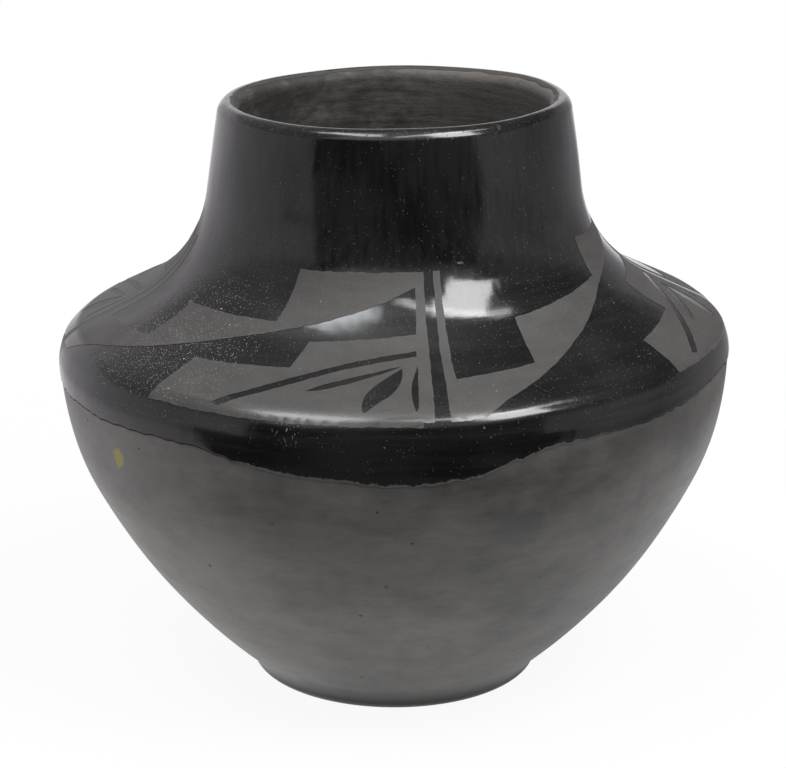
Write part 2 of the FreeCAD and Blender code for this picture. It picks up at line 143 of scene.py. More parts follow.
class Profile:
    """The clay's outline from the underside's middle, over the lip, to the floor's middle."""

    def __init__(self):
        self.runs = []
        self.work_out()
        self.draw()

    def work_out(self):
        """Centres, radii and turns of the arcs, which meet smoothly above the foot."""
        wall_rise = BELLY_HEIGHT - FOOT_HEIGHT
        neck_rise = HEIGHT - BELLY_HEIGHT
        set_in = BELLY_RADIUS - MOUTH_RADIUS
        self.belly_turn = BELLY_TURN_SHARE * math.atan2(BELLY_RADIUS - FOOT_RADIUS, wall_rise)
        self.belly_round = BELLY_RISE_SHARE * wall_rise / math.sin(self.belly_turn)
        self.slope = math.atan(SHOULDER_SLOPE_SHARE * neck_rise / set_in)
        self.taper = math.atan(NECK_TAPER_SHARE * set_in / neck_rise)
        self.belly_centre = np.array([BELLY_RADIUS - self.belly_round, BELLY_HEIGHT])
        self.edge_centre = np.array([BELLY_RADIUS - EDGE_ROUND, BELLY_HEIGHT])
        across = np.array([math.cos(self.belly_turn), -math.sin(self.belly_turn)])
        turn = self.belly_centre + self.belly_round * across
        run = turn - np.array([FOOT_RADIUS, FOOT_HEIGHT])
        self.wall_round = (run @ run) / (2 * (run @ across))
        self.wall_centre = turn - self.wall_round * across
        self.foot_turn = math.asin((self.wall_centre[1] - FOOT_HEIGHT) / self.wall_round)
        up_slope = np.array([math.sin(self.slope), math.cos(self.slope)])
        shoulder = self.edge_centre + EDGE_ROUND * up_slope
        lean = math.tan(self.taper)
        set_back = shoulder[0] - MOUTH_RADIUS - lean * (HEIGHT - shoulder[1])
        rise = set_back / (1 / math.tan(self.slope) - lean)
        corner = shoulder + np.array([-rise / math.tan(self.slope), rise])
        self.lip_round = WALL / 2
        lip_r = MOUTH_RADIUS - self.lip_round * (1 - math.sin(self.taper)) / math.cos(self.taper)
        self.lip_centre = np.array([lip_r, HEIGHT - self.lip_round])
        lip_start = self.lip_centre[1] + self.lip_round * math.sin(self.taper)
        hollow_run = HOLLOW_SHARE * (lip_start - corner[1]) / math.cos(self.taper)
        self.hollow_round = hollow_run / math.tan((math.pi / 2 - self.slope - self.taper) / 2)
        down_slope = np.array([math.cos(self.slope), -math.sin(self.slope)])
        self.hollow_centre = corner + hollow_run * down_slope + self.hollow_round * up_slope
        reach = self.wall_round - WALL - FLOOR_ROUND
        floor_z = FLOOR + FLOOR_ROUND
        fall = self.wall_centre[1] - floor_z
        self.floor_centre = np.array([self.wall_centre[0] + math.sqrt(reach ** 2 - fall ** 2), floor_z])
        self.floor_turn = math.asin(fall / reach)

    def arc(self, name, centre, radius, first, last):
        """An arc, as points about a quarter of a millimetre apart."""
        count = max(8, int(abs(last - first) * radius / OUTLINE_STEP))
        angles = np.linspace(first, last, count)
        self.runs.append((name, centre + radius * np.stack([np.cos(angles), np.sin(angles)], 1)))

    def line(self, name, *points):
        """Straight runs between points."""
        self.runs.append((name, np.array(points)))

    def draw(self):
        """The whole outline, its outward normals, and the arc length where each run starts."""
        quarter = math.pi / 2
        ring_r = FOOT_RADIUS - FOOT_ROUND - RING_WIDTH
        turn = math.acos(1 - UNDERSIDE_DEPTH / UNDERSIDE_ROUND)
        flat_r = ring_r - UNDERSIDE_ROUND * math.sin(turn)
        foot_centre = np.array([FOOT_RADIUS - FOOT_ROUND, FOOT_ROUND])
        inner_edge = EDGE_ROUND - WALL
        inner_hollow = self.hollow_round + WALL
        self.line("underside", (0, UNDERSIDE_DEPTH), (flat_r, UNDERSIDE_DEPTH))
        self.arc("ring_rise", np.array([flat_r, UNDERSIDE_DEPTH - UNDERSIDE_ROUND]), UNDERSIDE_ROUND,
                 quarter, quarter - turn)
        self.line("ring", (ring_r, 0), (FOOT_RADIUS - FOOT_ROUND, 0))
        self.arc("foot_corner", foot_centre, FOOT_ROUND, -quarter, 0)
        self.arc("wall", self.wall_centre, self.wall_round, -self.foot_turn, -self.belly_turn)
        self.arc("belly", self.belly_centre, self.belly_round, -self.belly_turn, 0)
        self.arc("edge", self.edge_centre, EDGE_ROUND, 0, quarter - self.slope)
        self.arc("hollow", self.hollow_centre, self.hollow_round,
                 3 * quarter - self.slope, 2 * quarter + self.taper)
        self.arc("lip", self.lip_centre, self.lip_round, self.taper, 2 * quarter + self.taper)
        self.arc("hollow_inside", self.hollow_centre, inner_hollow,
                 2 * quarter + self.taper, 3 * quarter - self.slope)
        self.arc("edge_inside", self.edge_centre, inner_edge, quarter - self.slope, 0)
        self.arc("belly_inside", self.belly_centre, self.belly_round - WALL, 0, -self.belly_turn)
        self.arc("wall_inside", self.wall_centre, self.wall_round - WALL,
                 -self.belly_turn, -self.floor_turn)
        self.arc("floor_bend", self.floor_centre, FLOOR_ROUND, -self.floor_turn, -quarter)
        self.line("floor", (self.floor_centre[0], FLOOR), (0, FLOOR))
        points = np.concatenate([run for _, run in self.runs])
        steps = np.linalg.norm(np.diff(points, axis=0), axis=1)
        keep = np.concatenate([[True], steps > 1e-7])
        along = np.concatenate([[0], np.cumsum(steps)])
        self.starts = {}
        index = 0
        for name, run in self.runs:
            self.starts[name] = along[index]
            index += len(run)
        self.along = along[keep]
        self.points = points[keep]
        self.length = along[-1]
        self.lip_end = self.starts["lip"] + math.pi * self.lip_round
        self.ridge_at = self.starts["edge"] + EDGE_RIDGE_AT * EDGE_ROUND
        tangent = np.gradient(self.points, self.along, axis=0)
        tangent /= np.linalg.norm(tangent, axis=1)[:, None]
        self.normals = np.stack([tangent[:, 1], -tangent[:, 0]], 1)

    def at(self, along, offset=0.0):
        """Radius and height at an arc length, moved outward from the clay by offset."""
        offset = offset + EDGE_RIDGE * np.exp(-((along - self.ridge_at) / EDGE_RIDGE_REACH) ** 2)
        r, z, nr, nz = (np.interp(along, self.along, column)
                        for column in (*self.points.T, *self.normals.T))
        return r + offset * nr, z + offset * nz

    def along_at_radius(self, radius):
        """Arc length on the shoulder and neck where the clay has this radius."""
        low, high = np.searchsorted(self.along, (self.starts["edge"], self.starts["lip"]))
        return np.interp(-radius, -self.points[low:high, 0], self.along[low:high])

    def along_at_height(self, height):
        """Arc length on the outer face, from the foot to the lip, at this height."""
        low, high = np.searchsorted(self.along, (self.starts["wall"], self.starts["lip"]))
        return np.interp(height, self.points[low:high, 1], self.along[low:high])


profile = Profile()
rng = np.random.default_rng(41)


def waves(count, low_turn, high_turn, low_rise, high_rise):
    """Seeded waves round and up the jar: turns per round, radians per metre up, phases, weights."""
    turns = rng.integers(low_turn, high_turn + 1, count)
    rises = rng.uniform(low_rise, high_rise, count) * rng.choice([-1, 1], count)
    phases = rng.uniform(0, 2 * math.pi, count)
    weights = rng.uniform(0.4, 1.0, count)
    return turns, rises, phases, weights / np.sqrt((weights ** 2).sum() / 2)


def wave_height(made, angle, height=0.0):
    """Height of the summed waves at angles in radians, about one at most places."""
    total = np.zeros(np.broadcast(angle, height).shape)
    for turns, rise, phase, weight in zip(*made):
        total += weight * np.cos(turns * angle + rise * height + phase)
    return total


BODY_WAVES = waves(26, 2, 14, 20, 150)
RIM_WAVES = waves(7, 2, 7, 0, 1)
EDGE_WAVES = waves(30, 3, 40, 0, 1)
FINE_EDGE_WAVES = waves(60, 40, 170, 0, 1)


def smooth_step(value, low, high):
    """0 below low, 1 above high, and smooth between them."""
    share = np.clip((value - low) / (high - low), 0, 1)
    return share * share * (3 - 2 * share)


def hand_built(points):
    """Points of the true profile, moved as the jar's unevenness and lean move them."""
    x, y, z = points.T
    angle = np.arctan2(x, -y)
    radius = np.hypot(x, y)
    rise = smooth_step(z, *UNEVEN_HEIGHTS)
    grow = 1 + BODY_UNEVEN * rise * wave_height(BODY_WAVES, angle, z) / BELLY_RADIUS
    rim = smooth_step(z, BELLY_HEIGHT, HEIGHT)
    lift = RIM_UNEVEN * rim * wave_height(RIM_WAVES, angle) * radius / MOUTH_RADIUS
    lean = x * math.tan(math.radians(LEAN)) * np.clip((z - LEAN_START) / LEAN_RISE, 0, 1)
    return np.stack([x * grow, y * grow, z + lean + lift * rise], 1)


def on_axis_circle(angle, radius, height):
    """Points at angles in radians from -Y towards +X."""
    return np.stack([radius * np.sin(angle), -radius * np.cos(angle), height + 0 * angle], -1)


def new_object(name, data):
    """A new object in the scene."""
    item = bpy.data.objects.new(name, data)
    scene.collection.objects.link(item)
    return item


def finish_mesh(name, points, faces, sharp=SHARP):
    """A smooth-shaded mesh object of the hand-built points."""
    mesh = bpy.data.meshes.new(name)
    mesh.from_pydata(hand_built(np.asarray(points, float)).tolist(), [], faces)
    mesh.validate()
    mesh.shade_smooth()
    mesh.set_sharp_from_angle(angle=math.radians(sharp))
    return new_object(name, mesh)


def grid_faces(rows, columns, closed):
    """Quads between rows of columns points each; closed joins the last row to the first."""
    faces = []
    for row in range(rows if closed else rows - 1):
        low = row * columns
        high = (row + 1) % rows * columns
        faces += [(low + i, low + (i + 1) % columns, high + (i + 1) % columns, high + i)
                  for i in range(columns)]
    return faces


def spaced(first, last, step):
    """Arc lengths from first to last, both included, about step apart."""
    return np.linspace(first, last, max(2, int(abs(last - first) / step) + 2))


def turned_piece(name, outline, columns):
    """A closed piece turned about the axis from an outline that starts and ends on the axis."""
    angle = np.linspace(0, 2 * math.pi, columns, endpoint=False)
    rows = [on_axis_circle(angle, r, z) for r, z in outline[1:-1]]
    points = np.concatenate(rows + [[[0, 0, outline[0][1]]], [[0, 0, outline[-1][1]]]])
    faces = grid_faces(len(rows), columns, False)
    first_pole = len(rows) * columns
    last = (len(rows) - 1) * columns
    faces += [(first_pole, (i + 1) % columns, i) for i in range(columns)]
    faces += [(first_pole + 1, last + i, last + (i + 1) % columns) for i in range(columns)]
    return finish_mesh(name, points, faces)


def clay_rows(first, last, step, offset=0.0):
    """Points of the clay's outline between two arc lengths."""
    return list(zip(*profile.at(spaced(first, last, step), offset)))


def thinned(rows, gap=0.2 * MM):
    """Rows of an outline with the ones left out that lie on the one before."""
    kept = [rows[0]]
    for row in rows[1:-1]:
        if math.dist(row, kept[-1]) > gap and row[0] > gap:
            kept.append(row)
    return kept + [rows[-1]]


def foot_blend():
    """The soft turn from the foot's side into the wall."""
    corner = profile.starts["wall"]
    start, middle, end = (np.array(profile.at(corner + shift))
                          for shift in (-FOOT_BLEND_BELOW, 0, FOOT_BLEND_ABOVE))
    share = np.linspace(0, 1, FOOT_BLEND_POINTS + 2)[1:-1, None]
    return list((1 - share) ** 2 * start + 2 * share * (1 - share) * middle + share ** 2 * end)


def make_burnished_wall():
    """Outer half of the wall under the slip, with the foot, the standing ring and the underside."""
    starts = profile.starts
    top = profile.along_at_height(BELLY_HEIGHT + OUTER_TOP)
    rows = clay_rows(0, starts["wall"] - FOOT_BLEND_BELOW, CORNER_STEP)
    rows += foot_blend()
    rows += clay_rows(starts["wall"] + FOOT_BLEND_ABOVE, top, FINE_STEP)
    rows += clay_rows(top, starts["wall"], HIDDEN_STEP, -OUTER_DEPTH)
    rows += [OUTER_FLOOR, (0, OUTER_FLOOR[1])]
    return turned_piece("burnished_wall", thinned(rows), COLUMNS)


def make_scraped_inside():
    """Inner half of the wall, and the whole wall under the slip of the shoulder and neck."""
    starts = profile.starts
    low = profile.along_at_height(BELLY_HEIGHT + INNER_LOW)
    hidden = clay_rows(starts["wall"], low, HIDDEN_STEP, -INNER_DEPTH)
    outer = clay_rows(low, starts["lip"], UNDER_SLIP_STEP, -UNDER_SLIP)
    lip = clay_rows(starts["lip"], profile.lip_end, CORNER_STEP, -UNDER_SLIP)
    inner = clay_rows(profile.lip_end, profile.length, INSIDE_STEP)
    rows = [(0, INNER_FLOOR[1]), INNER_FLOOR] + hidden + outer + lip + inner
    return turned_piece("scraped_inside", thinned(rows), INSIDE_COLUMNS)


# Lower edge of the slip: degrees from the front, and millimetres above the solid's own edge.
# The slip runs lower in front, as in the photograph.
SLIP_EDGE = [
    (-180, 0.5), (-120, 1.0), (-75, 1.9), (-50, 1.9), (-37, 2.8), (-32, 2.4), (-26, -0.1), (-15, -2.9),
    (-1, -4.6), (8, -4.3), (14, -2.6), (18, -0.3), (22, 1.7), (26, 3.0), (34, 3.3), (42, 3.9), (57, 4.8),
    (70, 6.0), (84, 5.8), (120, 2.0), (180, 0.5),
]


def slip_rows():
    """The slip's ends, and arc lengths and offsets of its face from low to high, then of its back."""
    low = profile.along_at_height(BELLY_HEIGHT - SLIP_EDGE_DROP)
    edge, lip = profile.starts["edge"], profile.starts["lip"]
    high = lip + SLIP_LIP_SHARE * (profile.lip_end - lip)
    ridge_end = profile.ridge_at + 2 * EDGE_RIDGE_REACH
    face = np.concatenate([spaced(low, low + SLIP_TAPER, SLIP_EDGE_STEP),
                           spaced(low + SLIP_TAPER + FINE_STEP, edge, FINE_STEP),
                           spaced(edge + RIDGE_STEP, ridge_end, RIDGE_STEP),
                           spaced(ridge_end + FINE_STEP, lip, FINE_STEP),
                           spaced(lip + LIP_STEP, high, LIP_STEP)])
    lift = SLIP * np.sqrt(smooth_step(face - low, -0.35 * SLIP_TAPER, SLIP_TAPER)
                          * smooth_step(high - face, -0.05 * SLIP_LIP_TAPER, SLIP_LIP_TAPER))
    around_lip = (face - lip) / profile.lip_round + profile.taper
    lift -= LIP_FLAT * smooth_step(LIP_FLAT_REACH - np.abs(around_lip - LIP_FLAT_AT), 0, LIP_FLAT_REACH)
    back = [(along, -SLIP_ROOT) for along in spaced(high, low, SLIP_BACK_STEP)]
    return low, high, [*zip(face, lift), *back]


def make_slip_coat():
    """The polished slip, with its ragged lower edge and its worn edge just over the lip's crest."""
    angle = np.linspace(-math.pi, math.pi, COLUMNS, endpoint=False)
    rag = wave_height(EDGE_WAVES, angle) * RAG_SHARE + wave_height(FINE_EDGE_WAVES, angle) * FINE_RAG_SHARE
    rag = SLIP_RAG * rag + MM * np.interp(np.degrees(angle), *np.transpose(SLIP_EDGE))
    mouth_rag = SLIP_RAG * wave_height(EDGE_WAVES, angle + 1.3) * RAG_SHARE
    low, high, outline = slip_rows()
    rows = []
    thin = []
    for along, offset in outline:
        near_low = 1 - smooth_step(along, low, low + SLIP_RAG_FADE)
        near_high = smooth_step(along, high - SLIP_LIP_TAPER, high)
        thin += [float(np.clip(1 - (along - low) / SLIP_THIN, 0, 1))] * COLUMNS
        along = along + near_low * rag + near_high * mouth_rag
        rows.append(on_axis_circle(angle, *profile.at(along, offset)))
    item = finish_mesh("slip_coat", np.concatenate(rows), grid_faces(len(rows), COLUMNS, True))
    item.data.attributes.new("thin", "FLOAT", "POINT").data.foreach_set("value", thin)
    return item


# The painted pattern. A spot is (degrees on from the middle of the bar that starts the unit,
# radius in millimetres). The two units that show in front differ as hand painting does, and the
# two behind repeat them.

TOP_ROW = 59.5
LOW_ROW = 99.4

LEFT_UNIT = {
    "wing": [(5.2, 99.4), (13.5, 94.0), (28.0, 85.6), (44.2, 76.0), (62.0, 69.4), (87.2, 61.6)],
    "steps": [(87.3, TOP_ROW), (55.5, TOP_ROW), (53.2, 69.4), (24.2, 69.7), (22.7, 83.3), (3.0, 86.0)],
    "panel": [(86.5, 71.3), (63.0, 73.9), (61.3, 83.3), (40.5, 84.8), (38.2, 99.4), (86.2, 100.0)],
    "stripe": [
        [(50.7, 97.6), (59.2, 89.6), (69.2, 82.4), (78.0, 78.3), (86.5, 76.3)],
        [(86.5, 78.0), (78.0, 80.3), (69.2, 84.5), (60.5, 91.1), (52.2, 98.2)],
    ],
    "leaves": [
        [(66.1, 91.1), (69.2, 88.4), (75.5, 84.8), (83.2, 81.5), (75.5, 86.5), (69.2, 90.3)],
        [(83.2, 82.1), (79.8, 86.2), (77.3, 90.3), (76.4, 94.3), (76.9, 97.4), (79.2, 94.3),
         (81.7, 90.6), (83.0, 86.2)],
        [(86.1, 81.5), (85.0, 87.0), (84.6, 91.6), (85.2, 97.2), (86.5, 92.0), (86.6, 86.2)],
    ],
}

RIGHT_UNIT = {
    "wing": [(6.1, 99.2), (17.9, 89.9), (34.2, 77.9), (53.0, 67.7), (70.5, 63.4), (87.0, 61.0)],
    "steps": [(87.3, TOP_ROW), (54.2, 59.0), (53.0, 65.5), (20.8, 69.4), (19.2, 84.3), (2.6, 87.0)],
    "panel": [(86.5, 69.0), (66.1, 70.7), (65.5, 83.3), (46.7, 87.0), (46.1, 99.2), (86.2, 99.6)],
    "stripe": [
        [(54.0, 97.2), (62.0, 89.6), (71.0, 82.0), (79.0, 77.8), (86.5, 75.8)],
        [(86.5, 77.5), (79.0, 79.8), (71.0, 84.1), (63.2, 91.0), (55.5, 98.0)],
    ],
    "leaves": [
        [(67.4, 91.3), (70.2, 88.3), (76.3, 84.5), (83.6, 81.3), (76.2, 86.3), (70.3, 90.2)],
        [(83.4, 82.0), (80.2, 86.0), (77.8, 90.1), (76.9, 94.0), (77.4, 97.0), (79.6, 94.1),
         (82.0, 90.4), (83.2, 86.0)],
        [(86.2, 81.3), (85.2, 86.8), (84.9, 90.4), (85.6, 93.3), (86.5, 90.4), (86.6, 86.0)],
    ],
}

# Matt bars on the two sides of the polished bar, from the top row down
BARS = {
    "near": [(-2.8, TOP_ROW), (-0.55, TOP_ROW), (-1.1, 76.0), (-2.0, LOW_ROW), (-4.4, LOW_ROW),
             (-3.7, 76.0)],
    "far": [(2.1, TOP_ROW), (3.95, TOP_ROW), (2.9, 84.0), (3.6, LOW_ROW), (0.5, LOW_ROW), (1.2, 76.0)],
}


def smooth_path(spots, count=14):
    """A smooth curve through the spots."""
    spots = np.array(spots, float)
    padded = np.concatenate([[2 * spots[0] - spots[1]], spots, [2 * spots[-1] - spots[-2]]])
    path = []
    for before, first, last, after in zip(padded, padded[1:], padded[2:], padded[3:]):
        share = np.linspace(0, 1, count, endpoint=False)[:, None]
        path.append(0.5 * (2 * first + (last - before) * share
                           + (2 * before - 5 * first + 4 * last - after) * share ** 2
                           + (3 * first - before - 3 * last + after) * share ** 3))
    return np.concatenate(path + [spots[-1:]])


def in_plan(spots, turn):
    """Plan coordinates in metres of spots of the pattern."""
    spots = np.asarray(spots, float)
    angle = np.radians(spots[:, 0] + turn)
    return np.stack([spots[:, 1] * np.sin(angle), -spots[:, 1] * np.cos(angle)], 1) * MM


def brushed(spots, turn, seed, wander=WANDER):
    """A closed outline in plan, with points close together and a brush's small wander."""
    spots = np.asarray(spots, float)
    ends = np.roll(spots, -1, axis=0)
    path = []
    for first, last in zip(spots, ends):
        size = np.linalg.norm(in_plan([first], turn) - in_plan([last], turn))
        share = np.linspace(0, 1, max(1, int(size / PAINT_STEP)) + 1)[:-1, None]
        path.append(first + share * (last - first))
    plan = in_plan(np.concatenate(path), turn)
    edge = np.roll(plan, -1, axis=0) - np.roll(plan, 1, axis=0)
    edge /= np.maximum(np.linalg.norm(edge, axis=1), 1e-9)[:, None]
    steps = np.linalg.norm(np.diff(plan, axis=0, append=plan[:1]), axis=1)
    along = np.concatenate([[0], np.cumsum(steps)[:-1]])
    turns = 2 * math.pi * along / steps.sum()
    made = np.random.default_rng(seed)
    shift = np.zeros(len(plan))
    for length in WANDER_LENGTHS:
        times = max(1, round(steps.sum() / length))
        shift += np.cos(times * turns + made.uniform(0, 2 * math.pi)) * wander / 2
    return plan + shift[:, None] * np.stack([edge[:, 1], -edge[:, 0]], 1)


def inside(points, outline):
    """Which points lie inside a closed outline."""
    found = np.zeros(len(points), bool)
    for (x0, y0), (x1, y1) in zip(outline, np.roll(outline, -1, axis=0)):
        crosses = (y0 > points[:, 1]) != (y1 > points[:, 1])
        with np.errstate(divide="ignore", invalid="ignore"):
            reach = x0 + (points[:, 1] - y0) * (x1 - x0) / (y1 - y0)
        found ^= crosses & (points[:, 0] < reach)
    return found


def filled(outline, holes):
    """Plan points and triangles that fill an outline around its holes."""
    loops = [outline, *holes]
    edges = []
    points = np.concatenate(loops)
    start = 0
    for loop in loops:
        edges += [(start + i, start + (i + 1) % len(loop)) for i in range(len(loop))]
        start += len(loop)
    low, high = outline.min(0), outline.max(0)
    across = np.arange(low[0], high[0], PAINT_STEP)
    up = np.arange(low[1], high[1], PAINT_STEP * PAINT_ROW_SHARE)
    grid = np.stack(np.meshgrid(across, up), -1)
    grid[1::2, :, 0] += PAINT_STEP / 2
    grid = grid.reshape(-1, 2)
    grid = grid[inside(grid, outline) & ~np.any([inside(grid, hole) for hole in holes] or [[False]], axis=0)]
    near = np.array([np.min(np.linalg.norm(points - spot, axis=1)) for spot in grid])
    grid = grid[near > PAINT_STEP * 0.5]
    flat = [Vector(spot) for spot in np.concatenate([points, grid]).tolist()]
    made, _, triangles, *_ = delaunay_2d_cdt(flat, edges, [], 1, 1e-9)
    made = np.array([tuple(spot) for spot in made])
    triangles = np.array([tuple(face) for face in triangles])
    middles = made[triangles].mean(1)
    keep = inside(middles, outline)
    for hole in holes:
        keep &= ~inside(middles, hole)
    return made, triangles[keep]


def coat(plan, triangles, proud):
    """Points and faces of a closed coat of paint on plan triangles, this proud of the slip."""
    corners = plan[triangles]
    sides = corners[:, 1:] - corners[:, :1]
    turned = sides[:, 0, 0] * sides[:, 1, 1] - sides[:, 0, 1] * sides[:, 1, 0] < 0
    triangles = np.where(turned[:, None], triangles[:, ::-1], triangles)
    used, triangles = np.unique(triangles, return_inverse=True)
    triangles = triangles.reshape(-1, 3)
    plan = plan[used]
    angle = np.arctan2(plan[:, 0], -plan[:, 1])
    along = profile.along_at_radius(np.linalg.norm(plan, axis=1))
    layers = [on_axis_circle(angle, *profile.at(along, offset))
              for offset in (SLIP + proud, SLIP - PAINT_ROOT)]
    count = len(plan)
    faces = triangles.tolist() + (triangles[:, ::-1] + count).tolist()
    directed = {(a, b) for face in triangles.tolist() for a, b in zip(face, face[1:] + face[:1])}
    rim = [(a, b) for a, b in directed if (b, a) not in directed]
    faces += [(b, a, a + count, b + count) for a, b in sorted(rim)]
    return np.concatenate(layers), faces


def paint_piece(name, shapes, proud=PAINT_PROUD):
    """One piece of several coats, each an outline with its holes."""
    points, faces, start = [], [], 0
    for outline, holes in shapes:
        spots, made = coat(*filled(outline, holes), proud)
        points.append(spots)
        faces += [tuple(start + index for index in face) for face in made]
        start += len(spots)
    return finish_mesh(name, np.concatenate(points), faces, PAINT_SHARP)


def make_paint():
    """The stepped shapes over the wings, the panels with stripe and leaves left open, and the bars."""
    steps, panels, bars = [], [], []
    for index in range(PATTERN_REPEATS):
        unit = (RIGHT_UNIT, LEFT_UNIT)[index % 2]
        turn = PATTERN_TURN + 360 / PATTERN_REPEATS * index
        spots = np.concatenate([unit["steps"], [(3.0, LOW_ROW)], smooth_path(unit["wing"])])
        steps.append((brushed(spots, turn, 100 + index), []))
        stripe = np.concatenate([smooth_path(side) for side in unit["stripe"]])
        holes = [brushed(stripe, turn, 200 + index)]
        for number, leaf in enumerate(unit["leaves"]):
            closed = smooth_path([*leaf, leaf[0]], 4)[:-1]
            holes.append(brushed(closed, turn, 300 + 10 * index + number, LEAF_WANDER))
        panels.append((brushed(unit["panel"], turn, 400 + index), holes))
        for number, spots in enumerate(BARS.values()):
            bars.append((brushed(spots, turn, 500 + 10 * index + number, BAR_WANDER), []))
    return (paint_piece("painted_steps", steps), paint_piece("painted_panels", panels),
            paint_piece("painted_bars", bars, BAR_PROUD))


class Shader:
    """Short calls for a node tree, where an input is a plain value or another node's output."""

    def __init__(self, tree):
        self.tree = tree
        tree.nodes.clear()

    def add(self, kind, inputs=None, **settings):
        """A node with its settings and inputs."""
        node = self.tree.nodes.new("ShaderNode" + kind)
        for name, value in settings.items():
            setattr(node, name, value)
        for name, value in (inputs or {}).items():
            if isinstance(value, bpy.types.NodeSocket):
                self.tree.links.new(value, node.inputs[name])
            else:
                node.inputs[name].default_value = value
        return node

    def math(self, operation, first, second=0.0):
        """The output of a sum on two inputs."""
        return self.add("Math", {0: first, 1: second}, operation=operation).outputs[0]

    def times(self, total, *values):
        """The product of all the values."""
        for value in values:
            total = self.math("MULTIPLY", total, value)
        return total

    def plus(self, total, *values):
        """The sum of all the values."""
        for value in values:
            total = self.math("ADD", total, value)
        return total

    def blend(self, *parts):
        """The sum of values that each come with their weight."""
        return self.plus(*[self.times(value, weight) for value, weight in parts])

    def vector(self, operation, first, second=(0, 0, 0)):
        """The node of a sum on vectors."""
        return self.add("VectorMath", {0: first, 1: second}, operation=operation)

    def between(self, value, low, high, first=0.0, last=1.0, smooth=True):
        """value mapped from low and high to first and last, and held there outside."""
        kind = "SMOOTHSTEP" if smooth else "LINEAR"
        inputs = {"Value": value, "From Min": low, "From Max": high, "To Min": first, "To Max": last}
        return self.add("MapRange", inputs, interpolation_type=kind).outputs[0]

    def mix(self, share, first, second):
        """A colour between two colours."""
        node = self.add("Mix", {0: share, 6: first, 7: second}, data_type="RGBA")
        return node.outputs[2]

    def mix_numbers(self, share, first, second):
        """A number between two numbers."""
        return self.add("Mix", {0: share, 2: first, 3: second}, data_type="FLOAT").outputs[0]

    def place(self, stretch=(1, 1, 1)):
        """Object coordinates, stretched."""
        spot = self.add("TexCoord").outputs["Object"]
        return self.add("Mapping", {"Vector": spot, "Scale": stretch}).outputs[0]

    def axes(self, spot=None):
        """The three coordinates of a spot, or of the object's own place, each by itself."""
        return self.add("SeparateXYZ", {0: spot or self.place()}).outputs

    def noise(self, size, stretch=(1, 1, 1), detail=3.0, rough=0.5):
        """Noise from 0 to 1 with features of about this size in metres."""
        inputs = {"Vector": self.place(stretch), "Scale": 1 / size, "Detail": detail, "Roughness": rough}
        return self.add("TexNoise", inputs, noise_dimensions="3D").outputs["Fac"]

    def specks(self, size, share):
        """Small round specks, 1 in a speck, of which more show the larger the share."""
        cells = self.add("TexVoronoi", {"Vector": self.place(), "Scale": 1 / size})
        pick = self.add("SeparateColor", {0: cells.outputs["Color"]})
        chosen = self.math("LESS_THAN", pick.outputs[0], share)
        reach = self.between(pick.outputs[1], 0, 1, *SPECK_REACH, False)
        body = self.math("SUBTRACT", reach, cells.outputs["Distance"])
        return self.times(self.between(body, 0, SPECK_SOFT), chosen)

    def near(self, centre, far, close, most=1.0, rag=0.0):
        """most within close of a place on the jar, 0 beyond far, with a ragged edge."""
        spot = self.add("TexCoord").outputs["Object"]
        away = self.vector("DISTANCE", spot, centre).outputs["Value"]
        if rag:
            away = self.plus(away, self.times(self.noise(4 * MM, detail=4), rag))
        return self.between(away, far, close, 0.0, most)


def new_material(name):
    """A material with an empty node tree."""
    material = bpy.data.materials.new(name)
    material.use_nodes = True
    return material, Shader(material.node_tree)


def fired_material(look):
    """A material with the name, colour, roughness and relief in millimetres of a look."""
    material, shader = new_material(look.__name__)
    colour, rough, relief = look(shader)
    bump = shader.add("Bump", {"Strength": 1.0, "Distance": MM, "Height": relief})
    inputs = {"Base Color": colour, "Roughness": rough, "Normal": bump.outputs[0]}
    surface = shader.add("BsdfPrincipled", inputs)
    shader.add("OutputMaterial", {"Surface": surface.outputs[0]})
    return material


def grey(level, warm=0.0):
    """A near-grey colour; warm above 0 is browner and below 0 more violet."""
    return (level * (1 + warm), level, level * (1 - warm), 1)


# Colours. A pair is the darkest and the lightest tone of one material.
SLIP_TONES = (grey(0.0038), grey(0.0120, 0.04))
DULL_SLIP_TONES = (grey(0.030, 0.08), grey(0.056, 0.12))
BRUSHED_OUT = grey(0.075, 0.05)
SCRATCHED = (0.27, 0.255, 0.20, 1)
CHIPPED = (0.30, 0.27, 0.17, 1)
DUST = (0.42, 0.41, 0.39, 1)
# The far left's pale grey film: dust, and a painted reflection that makes polish and paint alike
FILM = grey(0.078, 0.03)
PAINT_TONES = (grey(0.038, 0.06), grey(0.053, 0.06))
UNDER_WORN_PAINT = grey(0.014)
CLAY_TONES = (grey(0.046, 0.06), grey(0.124, 0.08))
# The dark grey of a painted shadow on the foot's lowest millimetres, where it meets the floor
FOOT_SHADOW = grey(0.016, 0.05)
SMUDGED = grey(0.045, -0.05)
PITTED = grey(0.008)
OCHRE = (0.27, 0.23, 0.015, 1)
INSIDE_TONES = (grey(0.026, 0.08), grey(0.098, 0.10))

# Places: the thickest dust, the middle of the dull film on the far left, which is dust and painted
# reflection, a chip under the neck, a rubbed and a knocked place on the shoulder's edge, worn paint
# beside the polished bar, and a smear of ochre and a bluish smudge on the bare clay
DUST_PATCH = (-0.062, -0.056, 0.118)
DUST_AND_SHEEN_FILM = (-0.080, 0.020, 0.122)
CHIP = (0.0185, -0.0556, 0.1427)
RUBBED_FRONT = (0.008, -0.0980, 0.1070)
KNOCKED_PLACE = (-0.0293, -0.0968, 0.1062)
WORN_PLACE = (0.006, -0.0985, 0.1090)
OCHRE_SMEAR = (-0.0785, -0.0622, 0.0872)
DARK_SMUDGE = (0.0346, -0.0909, 0.0759)

